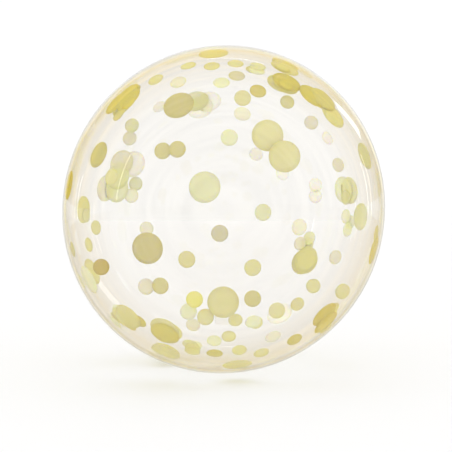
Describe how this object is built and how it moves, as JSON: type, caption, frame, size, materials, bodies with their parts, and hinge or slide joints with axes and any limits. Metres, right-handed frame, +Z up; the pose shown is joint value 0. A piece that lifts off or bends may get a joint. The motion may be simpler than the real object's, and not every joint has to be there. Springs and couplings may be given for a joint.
{
  "type": "clear bubble balloon",
  "caption": "Clear bubble balloon: a round envelope of stretched see-through film with a pleated neck and a flat welded tail, lying on its side, confetti dots inside.",
  "frame": {"origin": "middle of the small flat spot under the body, on which the balloon lies", "axes": "+Z up; the front faces -Y; +X to the right as seen from the front; the neck points to +Y and down"},
  "size_m": [0.5615, 0.5696, 0.5682],
  "materials": {
    "clear_film": "clear stretched film, glossy, faintly warm",
    "confetti": "matt tissue discs in khaki, olive gold and pale yellow"
  },
  "bodies": {
    "root": {"envelope": "clear_film"}
  },
  "joints": []
}
